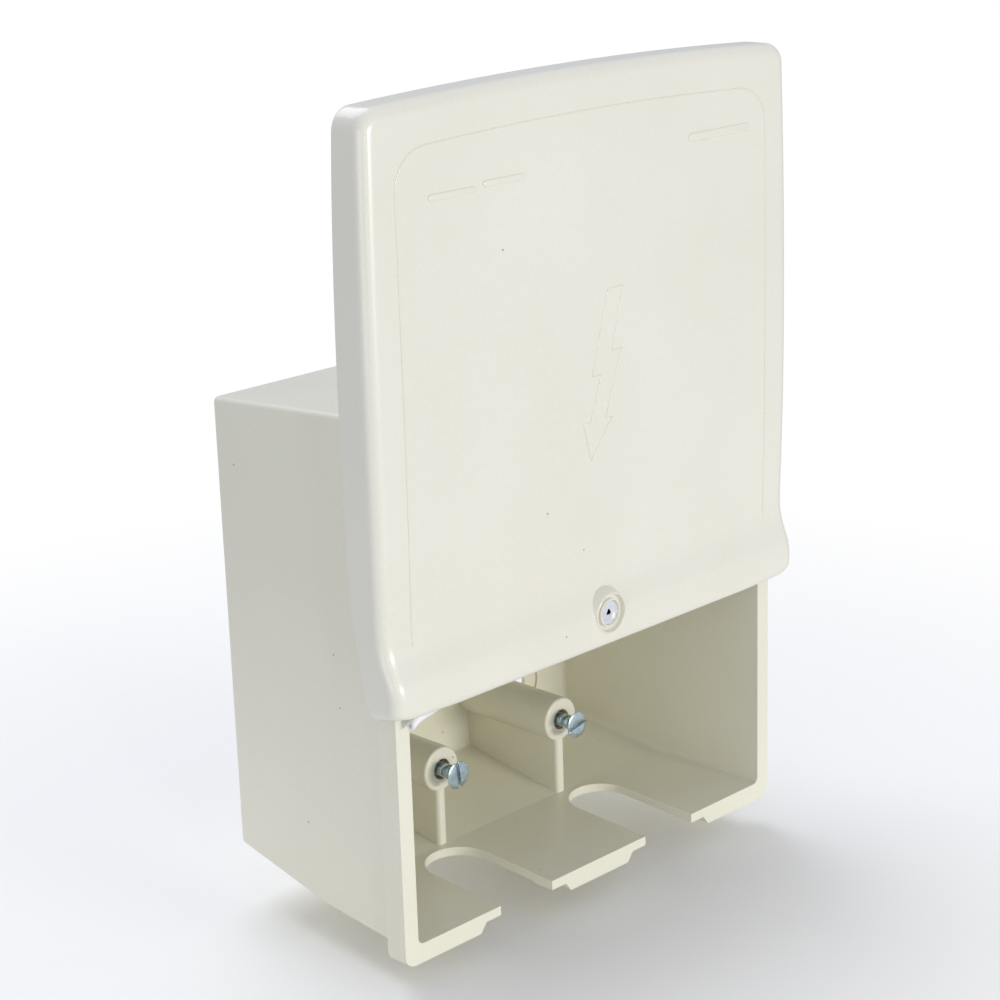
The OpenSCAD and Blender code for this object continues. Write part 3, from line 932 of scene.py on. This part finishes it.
def buildInsert(name, side, node):
    # a brass sleeve with a chamfered mouth and a knurled outside
    x, z, y = side * box["pillarX"], box["pillarZ"], box["pillarY"] + insert["set"]
    end = y + insert["length"]
    bm = bmesh.new()
    segments = insert["knurls"] * 2
    bore, outer, waist = insert["bore"], insert["outer"], insert["outer"] - insert["waist"]
    waistY, waistEnd = y + insert["waistFrom"], y + insert["waistTo"]
    profile = ((bore + 0.02, y + 0.45), (bore + 0.35, y), (outer - 0.3, y), (outer, y + 0.4),
               (outer, waistY), (waist, waistY + 0.4), (waist, waistEnd - 0.4), (outer, waistEnd),
               (outer, end - 0.4), (outer - 0.3, end), (bore + 0.35, end), (bore + 0.02, end - 0.45))
    knurled = (3, 4, 7, 8)    # the rings of the profile that carry the knurl
    rings = []
    for k, (r, ringY) in enumerate(profile):
        ring = []
        for i in range(segments):
            a = 2 * math.pi * i / segments
            deep = r - (insert["knurlDepth"] if i % 2 and k in knurled else 0)
            ring.append(bm.verts.new(at(x + deep * math.cos(a), ringY, z + deep * math.sin(a))))
        rings.append(ring)
    bridge(bm, rings + [rings[0]])
    outward(bm)
    finished(meshObject(name, bm), "box", insertBrass, [node], 40)


buildScrew("screwLeft", -1)
buildScrew("screwRight", 1)
buildInsert("insertLeft", -1, "insert_left")
buildInsert("insertRight", 1, "insert_right")
print("screws ready")


# the turning parts: barrel, O-ring, cam and spring clip
works = {
    "head": 4.8, "faceY": -7.5, "dish": 2.6, "dishDepth": 0.25, "headBack": -6.1,
    "shank": 4.0, "shankBack": -3.6, "stub": 2.6, "stubBack": -0.8, "groove": 2.0,
    # the painted shade in the key socket reaches a little past the socket's radius
    "socket": 1.9, "socketDepth": 3.4, "socketShadeMargin": 0.1, "edge": 0.07,
    "ring": 0.8, "ringWidth": 1.0, "ringFrom": 0.4, "ringSection": (0.39, 0.46),
    "camY": -3.2, "cam": 1.4, "camReach": 8.0, "camTip": 2.6, "camHub": 4.6, "camFit": 0.01,
    "camCut": (-5.0, 0.0), "camEdge": 0.2,
    "clipY": -1.6, "clip": 0.6, "clipOuter": 4.2, "clipFit": 0.02, "clipEdge": 0.08,
    "clipOutside": (-62, 242), "clipInside": (230, -50),
}


def around(radius, angle, x=0.0):
    # a point at an angle in degrees about a center on the lock's level, x beside the lock
    a = math.radians(angle)
    return x + radius * math.cos(a), lock["z"] + radius * math.sin(a)


def buildLock():
    y, z = works["faceY"], lock["z"]
    head, shank, stub, groove = works["head"], works["shank"], works["stub"], works["groove"]
    headBack, shankBack, stubBack = works["headBack"], works["shankBack"], works["stubBack"]
    gap = headBack + works["ringFrom"]
    gapEnd, clipY, clipEnd = gap + works["ringWidth"], works["clipY"], works["clipY"] + works["clip"]
    dish, dishY, seat = works["dish"], y + works["dishDepth"], shank - works["ring"]
    profile = ((0, dishY), (dish, dishY), (dish + 0.15, y + 0.12), (dish + 0.4, y),
               (head - 0.55, y), (head - 0.2, y + 0.08), (head, y + 0.35), (head, headBack),
               (shank, headBack), (shank, gap), (seat, gap), (seat, gapEnd), (shank, gapEnd),
               (shank, shankBack), (stub, shankBack), (stub, clipY), (groove, clipY), (groove, clipEnd),
               (stub, clipEnd), (stub, stubBack - 0.2), (stub - 0.2, stubBack), (0, stubBack))
    barrel = lathe("lockBarrel", profile, (0, z), 72, raised)
    # rounded three-cornered key socket
    corners = [around(works["socket"], a) for a in (90, 210, 330)]
    outline = []
    for (x0, z0), (x1, z1) in zip(corners, corners[1:] + corners[:1]):
        outline += [(mix(x0, x1, t), mix(z0, z1, t)) for t in (0.2, 0.8)]
    combine(barrel, prism("socket", outline, y - past, y + works["socketDepth"], raised), "DIFFERENCE")
    bevelled(barrel, works["edge"], 2, 50)
    # the key socket gets a painted shade, near black, in the barrel's finish
    face = raised(0, y, z)
    paintSocketShade(lockSilver, face, (works["socket"] + works["socketShadeMargin"]) / 1000, face.y,
                 works["socketDepth"] / 1000)
    finished(barrel, "lock", lockSilver, ["lock_barrel"], 40)

    ringMid, ringR = gap + works["ringWidth"] / 2, shank - works["ring"] / 2
    thick, tall = works["ringSection"]
    loop = [(ringR + thick * math.cos(math.radians(a)), ringMid + tall * math.sin(math.radians(a)))
            for a in range(0, 361, 30)]
    oRing = lathe("lockRing", loop, (0, z), 56, raised)
    finished(oRing, "lock", ringRubber, ["lock_oring"])

    reach, hub, tip = works["camReach"] - works["camTip"], works["camHub"], works["camTip"]
    lean = math.degrees(math.acos((hub - tip) / reach))
    outline = [around(hub, mix(lean, 360 - lean, k / 40)) for k in range(41)]
    outline += [around(tip, mix(-lean, lean, k / 20), reach) for k in range(21)]
    cam = prism("lockCam", outline, works["camY"], works["camY"] + works["cam"], raised)
    r, (start, end) = stub + works["camFit"], works["camCut"]
    hole = lathe("camHole", ((0, start), (r, start), (r, end), (0, end)), (0, z), 48, raised)
    combine(cam, hole, "DIFFERENCE")
    bevelled(cam, works["camEdge"], 2, 50)
    finished(cam, "lock", lockSteel, ["lock_cam"])

    outline = [around(works["clipOuter"], mix(*works["clipOutside"], k / 36)) for k in range(37)]
    outline += [around(groove + works["clipFit"], mix(*works["clipInside"], k / 30)) for k in range(31)]
    clip = prism("lockClip", outline, clipY, clipEnd, raised)
    bevelled(clip, works["clipEdge"], 2, 50)
    finished(clip, "lock", lockSteel, ["lock_clip"])


buildLock()
print("lock ready")


seal = {
    "radius": 1.95, "y": -3.7, "z": -4.0, "half": 97.6, "hole": 0.75, "holeDepth": 1.6, "sides": 20,
    # how far its loose end hangs, at places along it
    "sag": ((-100.5, 5.4), (-98, 3.85), (-95.5, 3.05), (-93, 2.55), (-90.6, 2.15), (-88, 1.55),
            (-84, 0.9), (-79, 0.3), (-74, 0)),
}


def buildSeal():
    bm = bmesh.new()
    sides, radius, hole = seal["sides"], seal["radius"], seal["hole"]
    start, level = seal["sag"][0][0], seal["sag"][-1][0]
    loose = [mix(start, level, k / 20) for k in range(20)]
    points = [(x, seal["z"] - curveThrough(seal["sag"], x)) for x in loose]
    points += [(mix(level, seal["half"], k / 40), seal["z"]) for k in range(41)]

    def ring(x, z, r, tilt=0.0):
        verts = []
        for i in range(sides):
            a = 2 * math.pi * i / sides
            up = r * math.sin(a)
            verts.append(bm.verts.new(raised(x - math.sin(tilt) * up, seal["y"] + r * math.cos(a),
                                             z + math.cos(tilt) * up)))
        return verts
    firstX, firstZ = points[0]
    tip = bm.verts.new(raised(firstX + seal["holeDepth"], seal["y"], firstZ))
    # out of the hole, over the end face and round its edge
    mouth = ((1.5, hole * 0.9), (0.25, hole), (0.05, hole + 0.15),
             (0, radius - 0.7), (0.12, radius - 0.3), (0.45, radius - 0.05))
    rings = [ring(firstX + inset, firstZ, r) for inset, r in mouth]
    for k in range(1, len(points)):
        a, b = points[k - 1], points[min(k + 1, len(points) - 1)]
        rings.append(ring(*points[k], radius, math.atan2(b[1] - a[1], b[0] - a[0])))
    endX, endZ = points[-1]
    for out, r in ((-0.1, radius - 0.2), (0, radius - 0.6)):
        rings.append(ring(endX + out, endZ, r))
    for i in range(sides):
        bm.faces.new((tip, rings[0][i], rings[0][(i + 1) % sides]))
    bridge(bm, rings)
    bm.faces.new(rings[-1])
    outward(bm)
    finished(meshObject("coverSeal", bm), "cover", sealFoam, ["cover_seal"])


buildSeal()
print("seal ready")


studio = {
    "floorSize": 3.0, "floorDrop": 0.012, "floorTone": (0.97, 0.96, 0.92), "fade": (0.16, 0.5),
    "sky": 0.50, "skyTone": (0.95, 0.985, 1.12), "backdrop": 1.0,
    "aim": (0, -0.05, 0.05),
    "lights": {
        "key": {"place": (0.3, -2.2, 0.15), "size": (0.7, 0.28), "power": 20,
                "tone": (1.0, 0.985, 0.97)},
        "strip": {"place": (-0.62, -1.35, 0.42), "size": (0.10, 1.1), "power": 1.2,
                  "tone": (1.0, 1.0, 1.0)},
        "over": {"place": (0.1, 1.0, 1.9), "size": (1.8, 1.8), "power": 24,
                 "tone": (0.96, 0.985, 1.07)},
        "side": {"place": (-2.0, -0.9, 0.15), "size": (1.0, 1.0), "power": 5.5,
                 "tone": (0.97, 0.985, 1.06)},
    },
}


def areaLight(name, setting):
    light = bpy.data.lights.new(name, "AREA")
    light.shape = "RECTANGLE"
    light.size, light.size_y = setting["size"]
    light.energy = setting["power"]
    light.color = setting["tone"]
    lamp = bpy.data.objects.new(name, light)
    scene.collection.objects.link(lamp)
    lamp.location = setting["place"]
    toBox = Vector(studio["aim"]) - Vector(setting["place"])
    lamp.rotation_euler = toBox.to_track_quat("-Z", "Y").to_euler()


def buildStudio():
    bm = bmesh.new()
    size, level = studio["floorSize"] / 2, cadBox[0][2] - studio["floorDrop"]
    corners = ((-1, -1), (1, -1), (1, 1), (-1, 1))
    bm.faces.new([bm.verts.new((x * size, y * size, level)) for x, y in corners])
    floor = meshObject("studioFloor", bm)
    material, tree, shader, coords = nodeTree("studioFloor")
    tone = studio["floorTone"]
    lighter = tuple(c + 0.02 for c in tone)
    color = ramp(tree, noise(tree, coords, 2, 2), ((0.3, tone), (0.7, lighter)))
    tree.links.new(color, shader.inputs["Base Color"])
    shader.inputs["Roughness"].default_value = 0.9
    # the floor fades into the backdrop away from the box
    reach = tree.nodes.new("ShaderNodeVectorMath")
    reach.operation = "LENGTH"
    tree.links.new(coords.outputs["Object"], reach.inputs[0])
    fade = levels(tree, reach.outputs["Value"], 1, 0, *studio["fade"])
    tree.links.new(fade, shader.inputs["Alpha"])
    floor.data.materials.append(material)
    for name, setting in studio["lights"].items():
        areaLight(name + "Light", setting)
    world = bpy.data.worlds.new("studioSky")
    scene.world = world
    world.use_nodes = True
    links, nodes = world.node_tree.links, world.node_tree.nodes
    soft = nodes["Background"]
    soft.inputs["Color"].default_value = (*studio["skyTone"], 1)
    soft.inputs["Strength"].default_value = studio["sky"]
    plain = nodes.new("ShaderNodeBackground")
    plain.inputs["Color"].default_value = (1, 1, 1, 1)
    plain.inputs["Strength"].default_value = studio["backdrop"]
    path = nodes.new("ShaderNodeLightPath")
    pick = nodes.new("ShaderNodeMixShader")
    links.new(path.outputs["Is Camera Ray"], pick.inputs["Fac"])
    links.new(soft.outputs["Background"], pick.inputs[1])
    links.new(plain.outputs["Background"], pick.inputs[2])
    links.new(pick.outputs["Shader"], nodes["World Output"].inputs["Surface"])
    scene.view_settings.view_transform = "Standard"


cameraPlace = {
    "place": (-0.63957, -0.70525, 0.31884), "lens": 88.02,
    "right": (0.704539, -0.709027, -0.030093), "up": (0.227316, 0.1853, 0.956029),
    "forward": (0.672274, 0.6804, -0.291724),
}


def buildCamera():
    camera = bpy.data.cameras.new("camera")
    camera.lens = cameraPlace["lens"]
    camera.sensor_width = 36
    camera.clip_start = 0.01
    holder = bpy.data.objects.new("camera", camera)
    scene.collection.objects.link(holder)
    behind = [-c for c in cameraPlace["forward"]]
    turn = Matrix((cameraPlace["right"], cameraPlace["up"], behind)).transposed()
    holder.matrix_world = Matrix.Translation(cameraPlace["place"]) @ turn.to_4x4()
    scene.camera = holder


buildStudio()
buildCamera()
print("studio ready")
